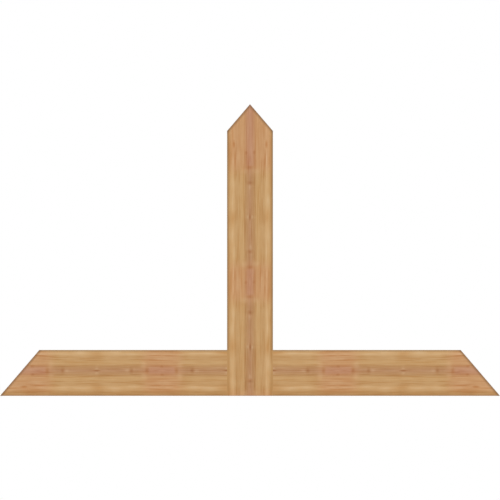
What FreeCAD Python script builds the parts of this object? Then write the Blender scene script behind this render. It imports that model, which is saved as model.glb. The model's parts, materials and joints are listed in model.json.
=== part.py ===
"""Decorative gable truss: a king post between two bottom chords, cut to sit under a pitched roof.

The frame has X across the gable, Y from front to back and Z up. The origin is at mid-span,
mid-depth, on the underside of the chords. All sizes are in millimetres.
The mitred chord ends and the two bevels of the post's peak lie in the same two roof planes,
which start at the chord tips and meet at the ridge.
"""

import math
import os

import FreeCAD
import Part
import Sketcher

# Driving dimensions: name, value, meaning.
SIZES = [
    ("roof_span", 1524.0, "chord tip to chord tip, 60 in"),
    ("pitch_rise", 14.0, "roof rise in the pitch rise / run"),
    ("pitch_run", 12.0, "roof run in the pitch rise / run"),
    ("post_face", 139.7, "width of the king post's face, 5 1/2 in"),
    ("chord_face", 139.7, "height of the chords' face, 5 1/2 in"),
    ("timber_depth", 88.9, "front to back of every timber, 3 1/2 in"),
    ("arris_radius", 1.6, "edges eased after the truss is glued up, 1/16 in"),
    ("dowel_diameter", 25.4, "hardwood dowel, 1 in"),
    ("dowel_spacing", 69.9, "upper to lower dowel, centre to centre"),
    ("dowel_embedment", 76.2, "length of dowel inside each chord, 3 in"),
    ("dowel_end_chamfer", 2.5, "lead-in on both ends of a dowel"),
    ("glue_film", 0.15, "radial clearance of a dowel in its bore"),
    ("glue_room", 3.0, "bore left empty past the dowel's end"),
    ("flute_count", 16.0, "glue flutes round a dowel"),
    ("flute_radius", 1.2, "radius of a half-round glue flute"),
]

# Sizes that follow from the driving ones: name, expression, meaning.
DERIVED = [
    ("half_span", "Sizes.roof_span / 2", "mid-span to a chord tip"),
    ("half_post", "Sizes.post_face / 2", "mid-span to a side of the post"),
    ("half_depth", "Sizes.timber_depth / 2", "mid-depth to the front or the back"),
    ("slope", "Sizes.pitch_rise / Sizes.pitch_run", "rise over run of the roof planes"),
    ("ridge_height", "half_span * slope", "where the two roof planes meet"),
    ("shoulder_height", "(half_span - half_post) * slope", "where a roof plane meets the post's side"),
    ("chord_top_reach", "half_span - Sizes.chord_face / slope", "mid-span to the top of a mitre"),
    ("upper_dowel_height", "(Sizes.chord_face + Sizes.dowel_spacing) / 2", "centre line over the underside"),
    ("lower_dowel_height", "(Sizes.chord_face - Sizes.dowel_spacing) / 2", "centre line over the underside"),
    ("dowel_radius", "Sizes.dowel_diameter / 2", "outside of a dowel, between its flutes"),
    ("dowel_length", "Sizes.post_face + 2 * Sizes.dowel_embedment", "end to end through the joint"),
    ("bore_radius", "dowel_radius + Sizes.glue_film", "dowel bores in the post and the chords"),
    ("bore_depth", "Sizes.dowel_embedment + Sizes.glue_room", "blind bores in the chords"),
]

# Points of a line, an arc or a circle in a sketch, and the origin and axes that every sketch has.
START, END, CENTRE = range(1, 4)
HORIZONTAL_AXIS, VERTICAL_AXIS = range(-1, -3, -1)
ORIGIN = (HORIZONTAL_AXIS, START)

LEFT, RIGHT = -1, 1


def make_sheet(doc):
    """The spreadsheet of driving dimensions, one aliased cell each."""
    sheet = doc.addObject("Spreadsheet::Sheet", "Sizes")
    for row, (name, value, meaning) in enumerate(SIZES, start=1):
        sheet.set(f"A{row}", name)
        sheet.set(f"B{row}", str(value))
        sheet.set(f"C{row}", meaning)
        sheet.setAlias(f"B{row}", name)
    doc.recompute()


def make_derived_sizes(doc):
    """The sizes that follow from the sheet, each one bound to it by its expression."""
    derived = doc.addObject("App::VarSet", "Derived")
    for name, expression, meaning in DERIVED:
        derived.addProperty("App::PropertyFloat", name, "Truss", meaning)
        derived.setExpression(name, expression)
    doc.recompute()


def current(doc, size):
    """The present value of a size such as Sizes.post_face or Derived.half_span."""
    holder, name = size.split(".")
    return float(getattr(doc.getObject(holder), name))


def new_body(doc, name):
    body = doc.addObject("PartDesign::Body", name)
    body.Label = name
    return body


def origin_feature(body, role):
    """The body's own origin plane or axis with that role, such as XZ_Plane."""
    return next(f for f in body.Origin.OriginFeatures if f.Role == role)


def new_sketch(body, name, plane):
    sketch = body.newObject("Sketcher::SketchObject", name)
    sketch.AttachmentSupport = (origin_feature(body, plane), [""])
    sketch.MapMode = "FlatFace"
    return sketch


def add_outline(sketch, corners):
    """A closed outline of straight lines through the corners, joined end to start."""
    points = [FreeCAD.Vector(x, y, 0) for x, y in corners]
    for start, end in zip(points, points[1:] + points[:1]):
        sketch.addGeometry(Part.LineSegment(start, end))
    for line in range(len(points)):
        following = (line + 1) % len(points)
        sketch.addConstraint(Sketcher.Constraint("Coincident", line, END, following, START))


def bind(sketch, name, size, kind, *where):
    """A named dimension of the sketch that follows a size."""
    value = current(sketch.Document, size)
    index = sketch.addConstraint(Sketcher.Constraint(kind, *where, value))
    sketch.renameConstraint(index, name)
    sketch.setExpression(f"Constraints.{name}", size)


def bind_across(sketch, name, size, side, point):
    """Distance of a point from the vertical axis, on the left or the right of it."""
    ends = (*point, *ORIGIN) if side == LEFT else (*ORIGIN, *point)
    bind(sketch, name, size, "DistanceX", *ends)


def add_circle(sketch, name, radius):
    """A circle about the sketch's origin, with that radius; its centre is still free."""
    start_radius = current(sketch.Document, radius)
    circle = sketch.addGeometry(Part.Circle(FreeCAD.Vector(), FreeCAD.Vector(0, 0, 1), start_radius))
    bind(sketch, f"{name}_radius", radius, "Radius", circle)
    return circle


def add_raised_circle(sketch, name, height, radius):
    """A circle centred on the sketch's vertical axis, at that height."""
    circle = add_circle(sketch, name, radius)
    sketch.addConstraint(Sketcher.Constraint("PointOnObject", circle, CENTRE, VERTICAL_AXIS))
    bind(sketch, f"{name}_height", height, "DistanceY", *ORIGIN, circle, CENTRE)


def pad_symmetric(body, sketch, length):
    pad = body.newObject("PartDesign::Pad", f"{body.Name}_pad")
    pad.Profile = sketch
    pad.SideType = "Symmetric"
    pad.setExpression("Length", length)
    body.Document.recompute()
    return pad


def pocket_right_through(body, sketch, name):
    """A cut through the whole body, to both sides of its sketch."""
    pocket = body.newObject("PartDesign::Pocket", name)
    pocket.Profile = sketch
    pocket.SideType = "Symmetric"
    pocket.Type = "ThroughAll"
    body.Document.recompute()
    return pocket


def edges_along(shape, axis):
    """Names of the straight edges that run along an axis."""
    tolerance = FreeCAD.Base.Precision.confusion()
    names = []
    for number, edge in enumerate(shape.Edges, start=1):
        if isinstance(edge.Curve, Part.Line) and edge.Curve.Direction.isParallel(axis, tolerance):
            names.append(f"Edge{number}")
    return names


def ease_edges(body, timber, axis):
    """The small round on the edges of a timber that run along an axis."""
    fillet = body.newObject("PartDesign::Fillet", f"{body.Name}_arris")
    fillet.Base = (timber, edges_along(timber.Shape, axis))
    fillet.setExpression("Radius", "Sizes.arris_radius")
    body.Document.recompute()


def dowel_bore_sketch(body):
    """Two circles, one above the other, where the dowels cross the joint."""
    sketch = new_sketch(body, f"{body.Name}_bores", "YZ_Plane")
    add_raised_circle(sketch, "upper", "Derived.upper_dowel_height", "Derived.bore_radius")
    add_raised_circle(sketch, "lower", "Derived.lower_dowel_height", "Derived.bore_radius")
    return sketch


def ease_corners_over_chords(body):
    """The small round on the post's four corners, stopped on the chords to keep the joint flush.

    One corner is sketched at the height of the chords' top and cut upwards, and the cut is
    mirrored to the other corners.
    """
    doc = body.Document
    sketch = new_sketch(body, f"{body.Name}_corner_waste", "XY_Plane")
    sketch.setExpression("AttachmentOffset.Base.z", "Sizes.chord_face")
    radius = current(doc, "Sizes.arris_radius")
    corner = FreeCAD.Vector(current(doc, "Derived.half_post"), current(doc, "Derived.half_depth"), 0)
    on_side = corner - FreeCAD.Vector(0, radius, 0)
    on_face = corner - FreeCAD.Vector(radius, 0, 0)
    centre = corner - FreeCAD.Vector(radius, radius, 0)
    circle = Part.Circle(centre, FreeCAD.Vector(0, 0, 1), radius)
    side = sketch.addGeometry(Part.LineSegment(on_side, corner))
    face = sketch.addGeometry(Part.LineSegment(corner, on_face))
    arc = sketch.addGeometry(Part.ArcOfCircle(circle, 0, math.pi / 2))
    sketch.addConstraint(
        [
            Sketcher.Constraint("Coincident", side, END, face, START),
            Sketcher.Constraint("Vertical", side),
            Sketcher.Constraint("Horizontal", face),
            Sketcher.Constraint("Tangent", arc, START, side, START),
            Sketcher.Constraint("Tangent", arc, END, face, END),
        ]
    )
    bind(sketch, "half_post", "Derived.half_post", "DistanceX", *ORIGIN, side, END)
    bind(sketch, "half_depth", "Derived.half_depth", "DistanceY", *ORIGIN, side, END)
    bind(sketch, "arris_radius", "Sizes.arris_radius", "Radius", arc)

    cut = body.newObject("PartDesign::Pocket", f"{body.Name}_corner_round")
    cut.Profile = sketch
    cut.Reversed = True
    cut.Type = "ThroughAll"
    doc.recompute()
    corners = body.newObject("PartDesign::MultiTransform", f"{body.Name}_corner_rounds")
    corners.Originals = [cut]
    mirrors = []
    for plane in ("YZ_Plane", "XZ_Plane"):
        mirror = body.newObject("PartDesign::Mirrored", f"{body.Name}_corner_mirror")
        mirror.MirrorPlane = (origin_feature(body, plane), [""])
        mirrors.append(mirror)
    corners.Transformations = mirrors
    body.Tip = corners
    doc.recompute()


def make_king_post(doc):
    """The upright timber, from the underside of the chords to a bevelled peak at the ridge."""
    body = new_body(doc, "king_post")
    sketch = new_sketch(body, "king_post_face", "XZ_Plane")
    half_post = current(doc, "Derived.half_post")
    shoulder = current(doc, "Derived.shoulder_height")
    ridge = current(doc, "Derived.ridge_height")
    foot, right_side, right_bevel, left_bevel, left_side = range(5)
    add_outline(
        sketch,
        [
            (-half_post, 0),
            (half_post, 0),
            (half_post, shoulder),
            (0, ridge),
            (-half_post, shoulder),
        ],
    )
    sketch.addConstraint(
        [
            Sketcher.Constraint("PointOnObject", foot, START, HORIZONTAL_AXIS),
            Sketcher.Constraint("Symmetric", foot, START, foot, END, VERTICAL_AXIS),
            Sketcher.Constraint("Vertical", right_side),
            Sketcher.Constraint("Vertical", left_side),
            Sketcher.Constraint("Equal", right_side, left_side),
            Sketcher.Constraint("PointOnObject", right_bevel, END, VERTICAL_AXIS),
        ]
    )
    bind(sketch, "post_face", "Sizes.post_face", "DistanceX", foot, START, foot, END)
    bind(sketch, "shoulder_height", "Derived.shoulder_height", "DistanceY", *ORIGIN, right_side, END)
    bind(sketch, "ridge_height", "Derived.ridge_height", "DistanceY", *ORIGIN, left_bevel, START)
    timber = pad_symmetric(body, sketch, "Sizes.timber_depth")
    ease_edges(body, timber, FreeCAD.Vector(1, 0, 0))
    ease_corners_over_chords(body)
    pocket_right_through(body, dowel_bore_sketch(body), "king_post_through_bores")
    return body


def make_chord(doc, name, side):
    """One level timber, square against the post and mitred to the roof at its outer end."""
    body = new_body(doc, name)
    sketch = new_sketch(body, f"{name}_face", "XZ_Plane")
    half_span = current(doc, "Derived.half_span")
    half_post = current(doc, "Derived.half_post")
    top_reach = current(doc, "Derived.chord_top_reach")
    height = current(doc, "Sizes.chord_face")
    underside, butt, top, mitre = range(4)
    add_outline(
        sketch,
        [
            (side * half_span, 0),
            (side * half_post, 0),
            (side * half_post, height),
            (side * top_reach, height),
        ],
    )
    sketch.addConstraint(
        [
            Sketcher.Constraint("PointOnObject", underside, START, HORIZONTAL_AXIS),
            Sketcher.Constraint("PointOnObject", underside, END, HORIZONTAL_AXIS),
            Sketcher.Constraint("Vertical", butt),
            Sketcher.Constraint("Horizontal", top),
        ]
    )
    bind_across(sketch, "half_span", "Derived.half_span", side, (underside, START))
    bind_across(sketch, "half_post", "Derived.half_post", side, (butt, START))
    bind_across(sketch, "top_reach", "Derived.chord_top_reach", side, (mitre, START))
    bind(sketch, "chord_face", "Sizes.chord_face", "DistanceY", butt, START, butt, END)
    timber = pad_symmetric(body, sketch, "Sizes.timber_depth")
    ease_edges(body, timber, FreeCAD.Vector(1, 0, 0))

    bore_sketch = dowel_bore_sketch(body)
    bore_sketch.setExpression("AttachmentOffset.Base.z", f"{side} * Derived.half_post")
    bores = body.newObject("PartDesign::Pocket", f"{name}_blind_bores")
    bores.Profile = bore_sketch
    bores.Reversed = side == RIGHT
    bores.setExpression("Length", "Derived.bore_depth")
    doc.recompute()
    return body


def make_dowel(doc, name, height):
    """A fluted dowel that runs right through the post and into both chords."""
    body = new_body(doc, name)
    sketch = new_sketch(body, f"{name}_section", "YZ_Plane")
    outside = add_circle(sketch, "dowel", "Derived.dowel_radius")
    sketch.addConstraint(Sketcher.Constraint("Coincident", outside, CENTRE, *ORIGIN))
    rod = pad_symmetric(body, sketch, "Derived.dowel_length")

    rims = [f"Edge{number}" for number, edge in enumerate(rod.Shape.Edges, start=1) if edge.Closed]
    lead_in = body.newObject("PartDesign::Chamfer", f"{name}_lead_in")
    lead_in.Base = (rod, rims)
    lead_in.setExpression("Size", "Sizes.dowel_end_chamfer")
    doc.recompute()

    flute_sketch = new_sketch(body, f"{name}_flute", "YZ_Plane")
    add_raised_circle(flute_sketch, "flute", "Derived.dowel_radius", "Sizes.flute_radius")
    flute = pocket_right_through(body, flute_sketch, f"{name}_first_flute")

    ring = body.newObject("PartDesign::PolarPattern", f"{name}_flutes")
    ring.Originals = [flute]
    ring.Axis = (origin_feature(body, "X_Axis"), [""])
    ring.Angle = 360
    ring.setExpression("Occurrences", "Sizes.flute_count")
    body.Tip = ring
    body.setExpression("Placement.Base.z", height)
    doc.recompute()
    return body


def check_document(doc, bodies):
    """Stops before anything is written if a feature failed or a solid is not sound."""
    for item in doc.Objects:
        if {"Invalid", "Error"} & set(item.State):
            raise RuntimeError(f"{item.Name} failed: {item.State}")
    for body in bodies:
        shape = body.Shape
        if shape.isNull() or not shape.isValid() or len(shape.Solids) != 1:
            raise RuntimeError(f"{body.Label} is not one valid solid")


def main():
    doc = FreeCAD.newDocument("gable_truss")
    make_sheet(doc)
    make_derived_sizes(doc)
    bodies = [
        make_king_post(doc),
        make_chord(doc, "left_chord", LEFT),
        make_chord(doc, "right_chord", RIGHT),
        make_dowel(doc, "upper_dowel", "Derived.upper_dowel_height"),
        make_dowel(doc, "lower_dowel", "Derived.lower_dowel_height"),
    ]
    doc.recompute()
    check_document(doc, bodies)
    os.makedirs("parts", exist_ok=True)
    for body in bodies:
        body.Shape.exportStep(os.path.join("parts", f"{body.Label}.step"))
        print(f"{body.Label}: {body.Shape.Volume / 1e6:.4f} litres, {len(body.Shape.Faces)} faces")


main()
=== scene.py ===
"""Finishes of the decorative gable truss: planed cedar timbers held by hidden beech dowels.

Places are in metres: X across the gable, Y from front to back, Z up. The sizes of a wood pattern are
in millimetres.
"""

import json
import math

import bmesh
import bpy
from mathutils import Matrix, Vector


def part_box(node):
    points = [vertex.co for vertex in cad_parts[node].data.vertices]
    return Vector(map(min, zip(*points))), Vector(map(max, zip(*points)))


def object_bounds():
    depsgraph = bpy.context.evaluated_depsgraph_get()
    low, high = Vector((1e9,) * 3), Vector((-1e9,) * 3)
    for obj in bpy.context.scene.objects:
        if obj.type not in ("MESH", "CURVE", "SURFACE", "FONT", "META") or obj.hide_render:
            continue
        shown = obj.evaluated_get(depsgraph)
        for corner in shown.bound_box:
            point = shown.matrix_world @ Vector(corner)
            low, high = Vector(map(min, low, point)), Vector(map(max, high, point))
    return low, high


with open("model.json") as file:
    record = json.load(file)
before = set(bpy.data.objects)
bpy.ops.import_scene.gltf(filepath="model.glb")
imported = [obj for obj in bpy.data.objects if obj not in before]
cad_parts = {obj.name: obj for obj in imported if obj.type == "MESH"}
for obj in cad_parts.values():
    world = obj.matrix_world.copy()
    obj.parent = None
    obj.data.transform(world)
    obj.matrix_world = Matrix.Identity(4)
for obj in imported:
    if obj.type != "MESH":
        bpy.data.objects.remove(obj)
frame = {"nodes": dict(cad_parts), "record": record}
cad_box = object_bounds()

# Sizes of the timbers in millimetres, and the slope of the roof that they are cut to.
MM_PER_M = 1000.0
POST_LOW, POST_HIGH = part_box("king_post")
CHORD_LOW, CHORD_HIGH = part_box("right_chord")
POST_FACE = (POST_HIGH.x - POST_LOW.x) * MM_PER_M
CHORD_FACE = (CHORD_HIGH.z - CHORD_LOW.z) * MM_PER_M
HALF_DEPTH = (POST_HIGH.y - POST_LOW.y) / 2 * MM_PER_M
RIDGE_HEIGHT = POST_HIGH.z * MM_PER_M
MOUNTS = {mount["name"]: mount for mount in frame["record"]["mounts"]}
ROOF_NORMAL = MOUNTS["right_rake_seat"]["axis"]

# How the grain lies in each timber. The chords mirror each other.
CHORD_GRAIN = {
    "face": CHORD_FACE,  # width of the face
    "middle": CHORD_FACE / 2,  # middle of the face
    "heart": 76.8,  # heart line, which the grain is mirrored about
    "lone_knot": 466.0,  # knot that the flecks are counted from
    "turn": math.radians(90),  # turn that stands the grain upright
    "buried": 0.0,  # height up to which the long edges are buried in the joint
    "wear_and_painted_shade": (0.25, 0.58),  # how dark the lower and the upper edges are, by wear and by painted shade; the upper ones darker
    "shade": 0.975,  # darkness of the plain wood, painted lighter than the post's, to make up for the floor's shade on the low chords
}
TIMBERS = {
    "king_post": {
        "face": POST_FACE,
        "middle": 0.0,
        "heart": 0.0,
        "lone_knot": 544.0,
        "turn": 0.0,
        "buried": CHORD_FACE,
        "wear_and_painted_shade": (0.6, 0.6),  # the left and the right edges
        # Painted shade: the post's plain wood is set darker than the chords', to even out the light
        # that falls more on it, high above the floor.
        "shade": 0.998,
        "mirror": 1.0,
        "grain_axis": (0, 0, 1),
    },
    "left_chord": {**CHORD_GRAIN, "mirror": 1.0, "grain_axis": (1, 0, 0)},
    "right_chord": {**CHORD_GRAIN, "mirror": -1.0, "grain_axis": (1, 0, 0)},
}

# Tones of the cedar.
CEDAR = {
    "heart": "#B4855D",
    "heart_edge": "#B48655",
    "tan": "#C29661",
    "dull_tan": "#BF935F",
    "honey": "#CBA06C",
    "rim": "#B68852",
    "pink": "#C5875F",
    "rose": "#B7816D",
    "worn_and_shaded_edge": "#7C6647",
    "sawn_edge": "#6E4C2C",
    "early_end": "#B98B60",
    "late_end": "#7A5132",
    "check": "#4C3421",
}

# Bands of the cedar's face, within a reach: distance from the heart line, tone.
CEDAR_BANDS = [
    (0.0, "heart"),
    (13.5, "heart_edge"),
    (20.5, "tan"),
    (28.0, "tan"),
    (33.0, "dull_tan"),
    (43.0, "dull_tan"),
    (50.5, "honey"),
    (55.5, "honey"),
    (60.5, "tan"),
    (66.0, "rim"),
]
BAND_REACH = 80.0

# Warmer wood: distances from the lone knot over which each tone sets in, and its share past them.
PINK_SETS_IN = (118.0, 165.0)
PINK_SHARE = 0.4
ROSE_SETS_IN = (152.0, 166.0)
ROSE_SHARE = 0.3

# Pink thins out towards the rim, and rose fades beside the heart: distances from the heart line over
# which they do, and what is left of the pink.
PINK_THINS = (54.0, 68.0)
PINK_LEFT = 0.3
ROSE_FADES = (5.0, 16.0)

# The grain wavers: the lengths over which it does and how far, across, in depth and along.
WAVER_LENGTHS = (60.0, 60.0, 150.0)
WAVER_WIDTHS = (4.0, 0.0, 8.0)

# Growth rings are about 2 mm wide; they are drawn four times as wide, so that they show. The higher
# the power, the narrower is the late wood in a ring.
RING_WIDTH = 8.0
LATE_WOOD_POWER = 3.0

# How much of the flecks and of the rings shows on the faces of a timber. A face that leans less than
# the first lean to the front or back is a side, and past the second it is a front or a back.
FLECK_SHARES = {"front": 1.0, "back": 0.6, "side": 0.3}
RING_SHARES = {"front_or_back": 0.05, "side": 0.2}
SIDE_LEAN = 0.3
FACE_LEAN = 0.7

# Width over which the long edges are darkened, partly by wear and partly with painted shade of their
# rounded corners, and how far below and above the top of the joint that sets in.
EDGE_WEAR_AND_SHADE_WIDTH = 7.0
EDGE_WEAR_AND_SHADE_FADE = 3.0

# Width over which the saw scorches the wood next to a cut, and how dark it is at the cut.
SCORCH_WIDTH = 9.0
SCORCH_SHARE = 0.75

# Rays out from the pith on a sawn end: how close they lie round it, and the darkness of the palest
# and the darkest. They are finer than a hair, and about seventy coarse ones are drawn, so that they
# show.
RAY_SCALE = 11.0
RAY_SHADES = (0.9, 1.1)

# Drying checks about the pith: their number, how far they are turned from the depth and how far
# they lean to one side. They are under 1 mm wide, and are drawn about three times as wide, so that
# they show.
CHECK_COUNT = 3
CHECK_TURN = 0.5
CHECK_LEAN = 0.8

# A check is dark up to the first distance from its middle, and gone at the second. It closes between
# two distances from the pith, which its unevenness makes about twice as long.
CHECK_EDGES = (0.6, 2.6)
CHECK_SHARE = 0.75
CHECK_CLOSES = (10.0, 26.0)
CHECK_UNEVENNESS = 1.5

# The saw leaves arcs about the middle of its blade. They are drawn 6 mm apart, so that they show.
SAW_MARK = 6.0
SAW_MIDDLE = (0.0, -0.3, RIDGE_HEIGHT / MM_PER_M / 2)

# Flecks and patches, mirrored about the heart line: distance from it, distance from the lone knot,
# half width, half length, darkness. The grain turns back at the second pin knot and at every half
# repeat after it, but at the outer end of a timber it runs on.
HALF_REPEAT = 198.0
CEDAR_FLECKS = {
    "lone_knot": (0.0, 0.0, 3.4, 18.0, 0.48),
    "lone_knot_tail": (0.0, 18.0, 6.0, 14.0, 0.06),
    "lone_knot_shine": (7.0, 0.0, 3.4, 9.0, -0.14),
    "wide_knot_shine": (12.0, 0.0, 10.0, 10.0, -0.06),
    "dull_patch": (50.0, 0.0, 28.0, 38.0, 0.11),
    "dull_bar": (52.0, 0.0, 5.5, 26.0, 0.09),
    "honey_patch": (56.0, 54.0, 14.0, 32.0, -0.08),
    "second_honey_patch": (51.0, 104.0, 11.0, 28.0, -0.07),
    "bar_shine": (1.0, 92.0, 5.0, 12.0, -0.11),
    "bar": (0.0, 105.0, 16.0, 11.0, 0.17),
    "bar_core": (0.0, 105.5, 7.0, 6.5, 0.10),
    "bar_tail": (0.0, 120.0, 14.0, 14.0, 0.055),
    "bar_cap": (13.0, 114.0, 2.8, 28.0, 0.13),
    "first_thin_line": (33.5, 118.0, 1.8, 36.0, 0.14),
    "second_thin_line": (41.5, 134.0, 2.2, 20.0, 0.14),
    "dark_patch": (38.0, 128.0, 16.0, 24.0, 0.05),
    "pale_gap": (17.0, 142.0, 17.0, 14.0, -0.10),
    "first_pin_knot": (0.0, 153.0, 15.0, 10.0, 0.15),
    "first_pin_knot_core": (0.0, 153.0, 7.0, 6.0, 0.07),
    "pin_knot_lens": (0.0, 180.0, 3.0, 16.0, 0.10),
    "dark_heart_edge": (12.5, 182.0, 5.0, 40.0, 0.09),
    "second_pin_knot": (12.5, 198.0, 6.5, 9.0, 0.17),
    "inner_light_streak": (36.0, 188.0, 9.0, 28.0, -0.09),
    "dark_streak": (45.8, 178.0, 2.6, 36.0, 0.26),
    "outer_light_streak": (50.5, 178.0, 2.6, 28.0, -0.10),
    "outer_dark_streak": (58.0, 178.0, 3.2, 34.0, 0.12),
    "dark_rim": (62.5, 185.0, 11.0, 100.0, 0.16),
    "end_drop": (49.5, 222.0, 6.0, 17.0, 0.34),
    "end_drop_shine": (44.0, 222.0, 3.0, 22.0, -0.08),
}

# Streaks at no fixed place: width, length, the levels of noise between which they show, darkness.
# Fibres and lines of late wood are under 1 mm wide, and are drawn about four times as wide, so that
# they show.
CEDAR_STREAKS = {
    "fibres": (2.6, 70.0, 0.25, 0.75, 0.15),
    "late_wood": (3.6, 110.0, 0.55, 0.75, 0.18),
    "clouds": (18.0, 40.0, 0.25, 0.75, 0.08),
}

# Noise in the grain is stretched by its place, and keeps mostly between two levels about its middle.
GRAIN_NOISE = {"Scale": 1.0, "Detail": 1.0}
NOISE_LEVELS = (0.3, 0.7)
NOISE_MIDDLE = (0.5, 0.5, 0.5)

# Finish of the cedar: the leans to the grain between which a face turns from planed to sawn,
# roughness of the pale and the dark lines on a planed face, their darkness, roughness of a sawn end,
# and relief in metres. Left bare, it shines half as much as its IOR alone would give, which is a
# specular level of 0.5.
END_LEANS = (0.35, 0.5)
PLANED_ROUGHNESS = (0.72, 0.58)
PLANED_DARKNESS = (0.8, 1.2)
SAWN_ROUGHNESS = 0.85
CEDAR_RELIEF = {"Strength": 0.15, "Distance": 0.0004}
CEDAR_SPECULAR = 0.25
WOOD_IOR = 1.5

# Finish of the beech: size of its flecks, tones of the flecks and of the wood between them at their
# levels of noise, roughness of both, and relief in metres.
BEECH_FLECK = (5.0, 1.0, 1.0)
BEECH_TONES = [(0.35, "#B98D62"), (0.6, "#D3AE82")]
BEECH_ROUGHNESS = (0.5, 0.65)
BEECH_RELIEF = {"Strength": 0.2, "Distance": 0.0003}

# Floor of card. Its tooth is about 0.5 mm, and is drawn five times as coarse, so that it shows.
FLOOR_RADIUS = 8.0
FLOOR_SIDES = 96
FLOOR_GAP = 0.0005
CARD_TOOTH = 2.5
CARD_TONES = ("#F4F4F2", "#F9F9F7")
CARD_ROUGHNESS = 0.9

# Light and camera. A lamp's tilt, turn and spread are in degrees.
STUDIO_WHITE = "#FFFFFF"
FILL_STRENGTH = 0.5
BACKGROUND_STRENGTH = 1.0
LAMP_SPREAD = 40
LAMPS = {
    "front_lamp": {"strength": 1.28, "tilt": 60, "turn": -15},
    "back_lamp": {"strength": 0.9, "tilt": 60, "turn": 160},
}
CAMERA_DISTANCE = 3.0

# A Mix node has a set of sockets for each kind of data under the same names, so they go by number.
MIX_SHARE = 0
NUMBER_A, NUMBER_B = 2, 3
COLOUR_A, COLOUR_B = 6, 7
COLOUR_RESULT = 2


def linear(hex_colour):
    """An sRGB hex colour as the linear RGBA that a shader takes."""
    channels = [int(hex_colour[start : start + 2], 16) / 255 for start in (1, 3, 5)]
    return (*[c / 12.92 if c <= 0.04045 else ((c + 0.055) / 1.055) ** 2.4 for c in channels], 1.0)


def add_node(tree, kind, inputs=None, stops=(), **settings):
    """Adds a node. An input is a value, a socket, or a node whose first output is taken."""
    node = tree.nodes.new(kind)
    for name, value in settings.items():
        setattr(node, name, value)
    for name, value in (inputs or {}).items():
        if isinstance(value, bpy.types.Node):
            value = value.outputs[0]
        if isinstance(value, bpy.types.NodeSocket):
            tree.links.new(value, node.inputs[name])
        else:
            node.inputs[name].default_value = value
    for index, (position, colour) in enumerate(stops):
        spare = index < len(node.color_ramp.elements)
        stop = node.color_ramp.elements[index] if spare else node.color_ramp.elements.new(position)
        stop.position = position
        stop.color = colour
    return node


def new_material(name):
    """A material with nothing in its node tree yet, and that tree."""
    material = bpy.data.materials.new(name)
    material.use_nodes = True
    material.node_tree.nodes.clear()
    return material, material.node_tree


def cedar_grain(tree, timber):
    """Places in the grain of a timber, in millimetres.

    In the plain grain frame, X is across from the heart line, Y is the depth from the pith and Z is
    along the grain. In the wavy one the same lines waver a millimetre or two across and along.
    """
    place = add_node(tree, "ShaderNodeTexCoord").outputs
    plain = add_node(
        tree,
        "ShaderNodeMapping",
        {
            "Vector": place["Object"],
            "Location": (-timber["heart"], 0.0, -timber["lone_knot"]),
            "Rotation": (0.0, timber["turn"], 0.0),
            "Scale": (timber["mirror"] * MM_PER_M, MM_PER_M, MM_PER_M),
        },
    )
    waver_place = add_node(
        tree,
        "ShaderNodeMapping",
        {"Vector": plain, "Scale": [1 / length for length in WAVER_LENGTHS]},
    )
    waver = add_node(tree, "ShaderNodeTexNoise", {"Vector": waver_place, **GRAIN_NOISE})
    sway = add_node(
        tree,
        "ShaderNodeVectorMath",
        {0: waver.outputs["Color"], 1: NOISE_MIDDLE},
        operation="SUBTRACT",
    )
    wavy = add_node(
        tree, "ShaderNodeVectorMath", {0: sway, 1: WAVER_WIDTHS, 2: plain}, operation="MULTIPLY_ADD"
    )
    section = add_node(
        tree, "ShaderNodeVectorMath", {0: wavy, 1: (1.0, 1.0, 0.0)}, operation="MULTIPLY"
    )
    pith = add_node(tree, "ShaderNodeVectorMath", {0: section}, operation="LENGTH").outputs["Value"]
    # On the front face this is the distance from the heart line; elsewhere the ring there meets the
    # front face at that distance.
    squared = add_node(tree, "ShaderNodeMath", {0: pith, 1: 2.0}, operation="POWER")
    beyond = add_node(
        tree, "ShaderNodeMath", {0: squared, 1: HALF_DEPTH**2}, operation="SUBTRACT"
    )
    positive = add_node(tree, "ShaderNodeMath", {0: beyond, 1: 0.0}, operation="MAXIMUM")
    heart_distance = add_node(tree, "ShaderNodeMath", {0: positive}, operation="SQRT")
    along = add_node(tree, "ShaderNodeSeparateXYZ", {"Vector": wavy}).outputs["Z"]
    turned_back = add_node(
        tree, "ShaderNodeMath", {0: along, 1: HALF_REPEAT}, operation="PINGPONG"
    )
    knot_distance = add_node(
        tree, "ShaderNodeMath", {0: turned_back, 1: along}, operation="MAXIMUM"
    )
    return {
        "object": place["Object"],
        "normal": place["Normal"],
        "plain": plain,
        "wavy": wavy,
        "section": section,
        "pith": pith,
        "heart_distance": heart_distance,
        "knot_distance": knot_distance,
    }


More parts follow.
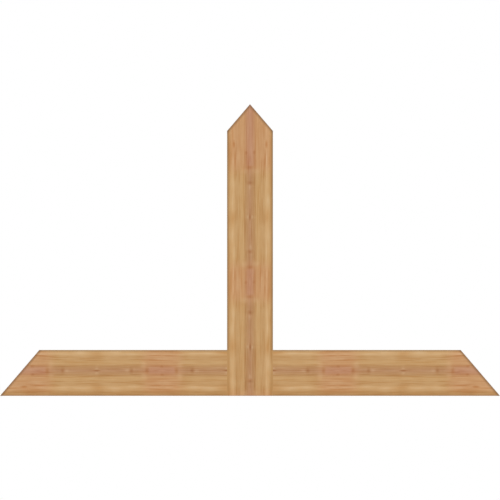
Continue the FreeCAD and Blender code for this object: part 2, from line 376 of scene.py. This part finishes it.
def cedar_tone(tree, grain):
    """Broad tones across the face, pinker where the pin knots crowd, with a rosy heart there."""
    band = add_node(
        tree, "ShaderNodeMath", {0: grain["heart_distance"], 1: BAND_REACH}, operation="DIVIDE"
    )
    bands = add_node(
        tree,
        "ShaderNodeValToRGB",
        {"Fac": band},
        stops=[(distance / BAND_REACH, linear(CEDAR[tone])) for distance, tone in CEDAR_BANDS],
    )
    pinkness = add_node(
        tree,
        "ShaderNodeMapRange",
        {
            "Value": grain["knot_distance"],
            "From Min": PINK_SETS_IN[0],
            "From Max": PINK_SETS_IN[1],
            "To Max": PINK_SHARE,
        },
        interpolation_type="SMOOTHSTEP",
    )
    inside_rim = add_node(
        tree,
        "ShaderNodeMapRange",
        {
            "Value": grain["heart_distance"],
            "From Min": PINK_THINS[0],
            "From Max": PINK_THINS[1],
            "To Min": 1.0,
            "To Max": PINK_LEFT,
        },
    )
    pink_share = add_node(
        tree, "ShaderNodeMath", {0: pinkness, 1: inside_rim}, operation="MULTIPLY"
    )
    pink = add_node(
        tree,
        "ShaderNodeMix",
        {MIX_SHARE: pink_share, COLOUR_A: bands, COLOUR_B: linear(CEDAR["pink"])},
        data_type="RGBA",
    ).outputs[COLOUR_RESULT]
    near_heart = add_node(
        tree,
        "ShaderNodeMapRange",
        {
            "Value": grain["heart_distance"],
            "From Min": ROSE_FADES[1],
            "From Max": ROSE_FADES[0],
        },
    )
    past_knot = add_node(
        tree,
        "ShaderNodeMapRange",
        {
            "Value": grain["knot_distance"],
            "From Min": ROSE_SETS_IN[0],
            "From Max": ROSE_SETS_IN[1],
            "To Max": ROSE_SHARE,
        },
        interpolation_type="SMOOTHSTEP",
    )
    rosiness = add_node(
        tree, "ShaderNodeMath", {0: near_heart, 1: past_knot}, operation="MULTIPLY"
    )
    return add_node(
        tree,
        "ShaderNodeMix",
        {MIX_SHARE: rosiness, COLOUR_A: pink, COLOUR_B: linear(CEDAR["rose"])},
        data_type="RGBA",
    ).outputs[COLOUR_RESULT]


def cedar_late_wood(tree, grain):
    """Rings about the pith: each one darkens outwards and ends sharply."""
    count = add_node(tree, "ShaderNodeMath", {0: grain["pith"], 1: RING_WIDTH}, operation="DIVIDE")
    ring = add_node(tree, "ShaderNodeMath", {0: count}, operation="FRACT")
    return add_node(tree, "ShaderNodeMath", {0: ring, 1: LATE_WOOD_POWER}, operation="POWER")


def cedar_figure(tree, grain, late_wood, shade):
    """Darkness of the wood: about one where it is plain, and more on rings, flecks and streaks. The
    plain darkness of each timber holds painted light and shade, which evens out the light between the
    low chords and the high post.
    """
    darkness = 0.0
    fold = add_node(
        tree, "ShaderNodeCombineXYZ", {"X": grain["heart_distance"], "Y": grain["knot_distance"]}
    )
    for across, along, half_width, half_length, strength in CEDAR_FLECKS.values():
        fleck_place = add_node(
            tree,
            "ShaderNodeMapping",
            {
                "Vector": fold,
                "Location": (across, along, 0.0),
                "Scale": (half_width, half_length, 1.0),
            },
            vector_type="TEXTURE",
        )
        reach = add_node(tree, "ShaderNodeVectorMath", {0: fleck_place}, operation="LENGTH")
        fleck = add_node(
            tree,
            "ShaderNodeMapRange",
            {"Value": reach.outputs["Value"], "From Min": 1.0, "From Max": 0.0},
            interpolation_type="SMOOTHSTEP",
        )
        darkness = add_node(
            tree, "ShaderNodeMath", {0: fleck, 1: strength, 2: darkness}, operation="MULTIPLY_ADD"
        )
    # The back shows less of the flecks than the front. The sides and the top show the least of them,
    # and more of the rings.
    back_lean = add_node(tree, "ShaderNodeSeparateXYZ", {"Vector": grain["normal"]}).outputs["Y"]
    back_share = add_node(
        tree,
        "ShaderNodeMapRange",
        {
            "Value": back_lean,
            "From Min": SIDE_LEAN,
            "From Max": FACE_LEAN,
            "To Min": FLECK_SHARES["side"],
            "To Max": FLECK_SHARES["back"],
        },
    )
    front_share = add_node(
        tree,
        "ShaderNodeMapRange",
        {
            "Value": back_lean,
            "From Min": -SIDE_LEAN,
            "From Max": -FACE_LEAN,
            "To Max": FLECK_SHARES["front"],
        },
    )
    fleck_share = add_node(
        tree, "ShaderNodeMath", {0: back_share, 1: front_share}, operation="MAXIMUM"
    )
    face_lean = add_node(tree, "ShaderNodeMath", {0: back_lean}, operation="ABSOLUTE")
    ring_share = add_node(
        tree,
        "ShaderNodeMapRange",
        {
            "Value": face_lean,
            "From Min": SIDE_LEAN,
            "From Max": FACE_LEAN,
            "To Min": RING_SHARES["side"],
            "To Max": RING_SHARES["front_or_back"],
        },
    )
    # Plain darkness per timber: painted light on the chords and painted shade on the post, which even
    # out the studio's light.
    darkness = add_node(
        tree, "ShaderNodeMath", {0: darkness, 1: fleck_share, 2: shade}, operation="MULTIPLY_ADD"
    )
    darkness = add_node(
        tree, "ShaderNodeMath", {0: late_wood, 1: ring_share, 2: darkness}, operation="MULTIPLY_ADD"
    )
    for width, length, low, high, strength in CEDAR_STREAKS.values():
        streak_place = add_node(
            tree,
            "ShaderNodeMapping",
            {"Vector": grain["wavy"], "Scale": (1 / width, 1 / width, 1 / length)},
        )
        noise = add_node(tree, "ShaderNodeTexNoise", {"Vector": streak_place, **GRAIN_NOISE})
        streak = add_node(
            tree,
            "ShaderNodeMapRange",
            {
                "Value": noise,
                "From Min": low,
                "From Max": high,
                "To Min": -strength / 2,
                "To Max": strength / 2,
            },
        )
        darkness = add_node(tree, "ShaderNodeMath", {0: darkness, 1: streak}, operation="ADD")
    return darkness


def cedar_worn_and_shaded_edges(tree, grain, timber):
    """How far the long edges are darkened, partly by wear and partly with painted shade of their
    rounded corners, apart from those that are buried in the joint.
    """
    parts = add_node(tree, "ShaderNodeSeparateXYZ", {"Vector": grain["plain"]}).outputs
    across = add_node(
        tree,
        "ShaderNodeMath",
        {0: parts["X"], 1: timber["heart"] - timber["middle"]},
        operation="ADD",
    )
    reach = add_node(tree, "ShaderNodeMath", {0: across}, operation="ABSOLUTE")
    side_margin = add_node(
        tree, "ShaderNodeMath", {0: timber["face"] / 2, 1: reach}, operation="SUBTRACT"
    )
    depth = add_node(tree, "ShaderNodeMath", {0: parts["Y"]}, operation="ABSOLUTE")
    depth_margin = add_node(
        tree, "ShaderNodeMath", {0: HALF_DEPTH, 1: depth}, operation="SUBTRACT"
    )
    margin = add_node(
        tree, "ShaderNodeMath", {0: side_margin, 1: depth_margin}, operation="MAXIMUM"
    )
    edge_share = add_node(
        tree, "ShaderNodeMapRange", {"Value": margin, "From Min": EDGE_WEAR_AND_SHADE_WIDTH, "From Max": 0.0}
    )
    # The chords' upper edges are painted darker than their lower ones.
    lower_wear_and_painted_shade, upper_wear_and_painted_shade = timber["wear_and_painted_shade"]
    most = add_node(
        tree,
        "ShaderNodeMapRange",
        {
            "Value": across,
            "From Min": -timber["face"] / 2,
            "From Max": timber["face"] / 2,
            "To Min": lower_wear_and_painted_shade,
            "To Max": upper_wear_and_painted_shade,
        },
    )
    wear_and_painted_shade = add_node(tree, "ShaderNodeMath", {0: edge_share, 1: most}, operation="MULTIPLY")
    height = add_node(tree, "ShaderNodeSeparateXYZ", {"Vector": grain["object"]}).outputs["Z"]
    bare = add_node(
        tree,
        "ShaderNodeMapRange",
        {
            "Value": height,
            "From Min": (timber["buried"] - EDGE_WEAR_AND_SHADE_FADE) / MM_PER_M,
            "From Max": (timber["buried"] + EDGE_WEAR_AND_SHADE_FADE) / MM_PER_M,
        },
    )
    return add_node(tree, "ShaderNodeMath", {0: wear_and_painted_shade, 1: bare}, operation="MULTIPLY")


def cedar_sawn_edges(tree, grain):
    """How far the wood is scorched by the saw, next to the roof planes in which all the cuts lie."""
    folded = add_node(tree, "ShaderNodeVectorMath", {0: grain["object"]}, operation="ABSOLUTE")
    rise = add_node(
        tree, "ShaderNodeVectorMath", {0: folded, 1: ROOF_NORMAL}, operation="DOT_PRODUCT"
    )
    roof = RIDGE_HEIGHT / MM_PER_M * ROOF_NORMAL[2]
    return add_node(
        tree,
        "ShaderNodeMapRange",
        {
            "Value": rise.outputs["Value"],
            "From Min": roof - SCORCH_WIDTH / MM_PER_M,
            "From Max": roof,
            "To Max": SCORCH_SHARE,
        },
    )


def cedar_end_grain(tree, grain, late_wood):
    """A sawn end: rings about the pith, rays out from it and a few drying checks."""
    rings = add_node(
        tree,
        "ShaderNodeMix",
        {
            MIX_SHARE: late_wood,
            COLOUR_A: linear(CEDAR["early_end"]),
            COLOUR_B: linear(CEDAR["late_end"]),
        },
        data_type="RGBA",
    ).outputs[COLOUR_RESULT]
    outward = add_node(tree, "ShaderNodeVectorMath", {0: grain["section"]}, operation="NORMALIZE")
    rays = add_node(
        tree, "ShaderNodeTexNoise", {"Vector": outward, "Scale": RAY_SCALE, "Detail": 1.0}
    )
    ray_shade = add_node(
        tree,
        "ShaderNodeMapRange",
        {
            "Value": rays,
            "From Min": NOISE_LEVELS[0],
            "From Max": NOISE_LEVELS[1],
            "To Min": RAY_SHADES[0],
            "To Max": RAY_SHADES[1],
        },
    )
    rayed = add_node(tree, "ShaderNodeGamma", {"Color": rings, "Gamma": ray_shade})
    # The checks run out from the pith at uneven angles, and some are shorter than others.
    parts = add_node(tree, "ShaderNodeSeparateXYZ", {"Vector": grain["section"]}).outputs
    angle = add_node(tree, "ShaderNodeMath", {0: parts["X"], 1: parts["Y"]}, operation="ARCTAN2")
    even_turn = add_node(
        tree,
        "ShaderNodeMath",
        {0: angle, 1: CHECK_COUNT / 2, 2: CHECK_TURN},
        operation="MULTIPLY_ADD",
    )
    lean = add_node(tree, "ShaderNodeMath", {0: angle}, operation="SINE")
    turn = add_node(
        tree, "ShaderNodeMath", {0: lean, 1: CHECK_LEAN, 2: even_turn}, operation="MULTIPLY_ADD"
    )
    swing = add_node(tree, "ShaderNodeMath", {0: turn}, operation="SINE")
    aside = add_node(tree, "ShaderNodeMath", {0: swing}, operation="ABSOLUTE")
    gap = add_node(tree, "ShaderNodeMath", {0: aside, 1: grain["pith"]}, operation="MULTIPLY")
    split = add_node(
        tree,
        "ShaderNodeMapRange",
        {
            "Value": gap,
            "From Min": CHECK_EDGES[1],
            "From Max": CHECK_EDGES[0],
            "To Max": CHECK_SHARE,
        },
    )
    unevenness = add_node(
        tree,
        "ShaderNodeTexNoise",
        {"Vector": outward, "Scale": CHECK_UNEVENNESS, "Detail": 0.0},
    )
    reach = add_node(
        tree, "ShaderNodeMath", {0: unevenness, 1: grain["pith"]}, operation="MULTIPLY"
    )
    opening = add_node(
        tree,
        "ShaderNodeMapRange",
        {"Value": reach, "From Min": CHECK_CLOSES[1], "From Max": CHECK_CLOSES[0]},
    )
    check = add_node(tree, "ShaderNodeMath", {0: split, 1: opening}, operation="MULTIPLY")
    return add_node(
        tree,
        "ShaderNodeMix",
        {MIX_SHARE: check, COLOUR_A: rayed, COLOUR_B: linear(CEDAR["check"])},
        data_type="RGBA",
    ).outputs[COLOUR_RESULT]


def cedar_saw_marks(tree, grain):
    """Height of the shallow arcs that the saw leaves on the ends."""
    reach = add_node(
        tree, "ShaderNodeVectorMath", {0: grain["object"], 1: SAW_MIDDLE}, operation="DISTANCE"
    )
    turns = add_node(
        tree,
        "ShaderNodeMath",
        {0: reach.outputs["Value"], 1: 2 * math.pi * MM_PER_M / SAW_MARK},
        operation="MULTIPLY",
    )
    return add_node(tree, "ShaderNodeMath", {0: turns}, operation="SINE")


def planed_cedar(name, timber):
    """Western red cedar, sawn with the heart boxed in, planed and left bare.

    The eye sees straight bands either side of a darker heart line, pin knots along it, fine lines of
    late wood, edges darkened by wear and by painted shade, rings on the sawn ends, and a dull
    surface.
    """
    material, tree = new_material(f"planed_cedar_{name}")
    grain = cedar_grain(tree, timber)
    late_wood = cedar_late_wood(tree, grain)
    darkness = cedar_figure(tree, grain, late_wood, timber["shade"])
    face = add_node(tree, "ShaderNodeGamma", {"Color": cedar_tone(tree, grain), "Gamma": darkness})
    # The long edges are darkened by wear, and with painted shade of their rounded corners.
    wear_and_painted_shade = add_node(
        tree,
        "ShaderNodeMix",
        {
            MIX_SHARE: cedar_worn_and_shaded_edges(tree, grain, timber),
            COLOUR_A: face,
            COLOUR_B: linear(CEDAR["worn_and_shaded_edge"]),
        },
        data_type="RGBA",
    ).outputs[COLOUR_RESULT]
    sawn = add_node(
        tree,
        "ShaderNodeMix",
        {
            MIX_SHARE: cedar_sawn_edges(tree, grain),
            COLOUR_A: wear_and_painted_shade,
            COLOUR_B: linear(CEDAR["sawn_edge"]),
        },
        data_type="RGBA",
    ).outputs[COLOUR_RESULT]

    # Sawn ends are the faces that cut the grain. They show its end, and the marks of the saw.
    end_grain = cedar_end_grain(tree, grain, late_wood)
    facing = add_node(
        tree,
        "ShaderNodeVectorMath",
        {0: grain["normal"], 1: timber["grain_axis"]},
        operation="DOT_PRODUCT",
    )
    end_lean = add_node(tree, "ShaderNodeMath", {0: facing.outputs["Value"]}, operation="ABSOLUTE")
    end_share = add_node(
        tree,
        "ShaderNodeMapRange",
        {"Value": end_lean, "From Min": END_LEANS[0], "From Max": END_LEANS[1]},
    )
    colour = add_node(
        tree,
        "ShaderNodeMix",
        {MIX_SHARE: end_share, COLOUR_A: sawn, COLOUR_B: end_grain},
        data_type="RGBA",
    ).outputs[COLOUR_RESULT]
    planed_roughness = add_node(
        tree,
        "ShaderNodeMapRange",
        {
            "Value": darkness,
            "From Min": PLANED_DARKNESS[0],
            "From Max": PLANED_DARKNESS[1],
            "To Min": PLANED_ROUGHNESS[0],
            "To Max": PLANED_ROUGHNESS[1],
        },
    )
    roughness = add_node(
        tree,
        "ShaderNodeMix",
        {MIX_SHARE: end_share, NUMBER_A: planed_roughness, NUMBER_B: SAWN_ROUGHNESS},
    )
    height = add_node(
        tree,
        "ShaderNodeMix",
        {MIX_SHARE: end_share, NUMBER_A: darkness, NUMBER_B: cedar_saw_marks(tree, grain)},
    )
    bump = add_node(tree, "ShaderNodeBump", {"Height": height, **CEDAR_RELIEF})
    shader = add_node(
        tree,
        "ShaderNodeBsdfPrincipled",
        {
            "Base Color": colour,
            "Roughness": roughness,
            "IOR": WOOD_IOR,
            "Specular IOR Level": CEDAR_SPECULAR,
            "Normal": bump,
        },
    )
    add_node(tree, "ShaderNodeOutputMaterial", {"Surface": shader})
    return material


def turned_beech():
    """Steamed beech rod, turned and left bare: pale, with short darker flecks along it."""
    material, tree = new_material("turned_beech")
    place = add_node(tree, "ShaderNodeTexCoord").outputs["Object"]
    fleck_place = add_node(
        tree,
        "ShaderNodeMapping",
        {"Vector": place, "Scale": [MM_PER_M / size for size in BEECH_FLECK]},
    )
    flecks = add_node(
        tree, "ShaderNodeTexNoise", {"Vector": fleck_place, "Scale": 1.0, "Detail": 2.0}
    )
    colour = add_node(
        tree,
        "ShaderNodeValToRGB",
        {"Fac": flecks},
        stops=[(level, linear(tone)) for level, tone in BEECH_TONES],
    )
    roughness = add_node(
        tree,
        "ShaderNodeMapRange",
        {"Value": flecks, "To Min": BEECH_ROUGHNESS[0], "To Max": BEECH_ROUGHNESS[1]},
    )
    bump = add_node(tree, "ShaderNodeBump", {"Height": flecks, **BEECH_RELIEF})
    shader = add_node(
        tree,
        "ShaderNodeBsdfPrincipled",
        {"Base Color": colour, "Roughness": roughness, "IOR": WOOD_IOR, "Normal": bump},
    )
    add_node(tree, "ShaderNodeOutputMaterial", {"Surface": shader})
    return material


def paint(node, material):
    """Gives a piece of the truss its finish."""
    for slot in frame["nodes"][node].material_slots:
        slot.material = material


def add_floor():
    """A wide round of matt pale card, just clear of the truss, so that their faces never coincide."""
    mesh = bpy.data.meshes.new("floor")
    shape = bmesh.new()
    bmesh.ops.create_circle(shape, cap_ends=True, segments=FLOOR_SIDES, radius=FLOOR_RADIUS)
    bmesh.ops.translate(shape, verts=shape.verts, vec=(0.0, 0.0, -FLOOR_GAP))
    shape.to_mesh(mesh)
    shape.free()
    floor = bpy.data.objects.new("floor", mesh)
    bpy.context.scene.collection.objects.link(floor)

    material, tree = new_material("matt_card")
    place = add_node(tree, "ShaderNodeTexCoord").outputs["Object"]
    tooth = add_node(
        tree,
        "ShaderNodeTexNoise",
        {"Vector": place, "Scale": MM_PER_M / CARD_TOOTH, "Detail": 2.0},
    )
    colour = add_node(
        tree,
        "ShaderNodeValToRGB",
        {"Fac": tooth},
        stops=[(level, linear(tone)) for level, tone in zip(NOISE_LEVELS, CARD_TONES)],
    )
    shader = add_node(
        tree, "ShaderNodeBsdfPrincipled", {"Base Color": colour, "Roughness": CARD_ROUGHNESS}
    )
    add_node(tree, "ShaderNodeOutputMaterial", {"Surface": shader})
    mesh.materials.append(material)


def add_lamp(name, strength, tilt, turn):
    """A soft far lamp, tilted up from straight below itself and turned about the upright."""
    lamp = bpy.data.lights.new(name, "SUN")
    lamp.energy = strength
    lamp.angle = math.radians(LAMP_SPREAD)
    holder = bpy.data.objects.new(name, lamp)
    holder.rotation_euler = (math.radians(tilt), 0.0, math.radians(turn))
    bpy.context.scene.collection.objects.link(holder)


def add_light():
    """An even white studio, a soft lamp in front and a weaker one behind."""
    world = bpy.data.worlds.new("studio")
    world.use_nodes = True
    tree = world.node_tree
    tree.nodes.clear()
    rays = add_node(tree, "ShaderNodeLightPath").outputs
    seen = rays["Is Camera Ray"]
    for kind in ("Is Glossy Ray", "Is Transmission Ray"):
        seen = add_node(tree, "ShaderNodeMath", {0: seen, 1: rays[kind]}, operation="MAXIMUM")
    fill, background = [
        add_node(
            tree,
            "ShaderNodeBackground",
            {"Color": linear(STUDIO_WHITE), "Strength": strength},
        )
        for strength in (FILL_STRENGTH, BACKGROUND_STRENGTH)
    ]
    mixed = add_node(tree, "ShaderNodeMixShader", {0: seen, 1: fill, 2: background})
    add_node(tree, "ShaderNodeOutputWorld", {"Surface": mixed})
    bpy.context.scene.world = world
    for name, lamp in LAMPS.items():
        add_lamp(name, **lamp)


def add_camera():
    """A level view square to the front, with the span across the whole picture."""
    low, high = cad_box
    middle = (low + high) / 2
    camera = bpy.data.cameras.new("front_camera")
    camera.type = "ORTHO"
    camera.ortho_scale = high.x - low.x
    eye = bpy.data.objects.new("front_camera", camera)
    eye.location = (middle.x, low.y - CAMERA_DISTANCE, middle.z)
    eye.rotation_euler = (math.radians(90), 0.0, 0.0)
    bpy.context.scene.collection.objects.link(eye)
    bpy.context.scene.camera = eye


for node, timber in TIMBERS.items():
    paint(node, planed_cedar(node, timber))
beech = turned_beech()
paint("upper_dowel", beech)
paint("lower_dowel", beech)
add_floor()
add_light()
add_camera()
bpy.context.scene.view_settings.view_transform = "Standard"
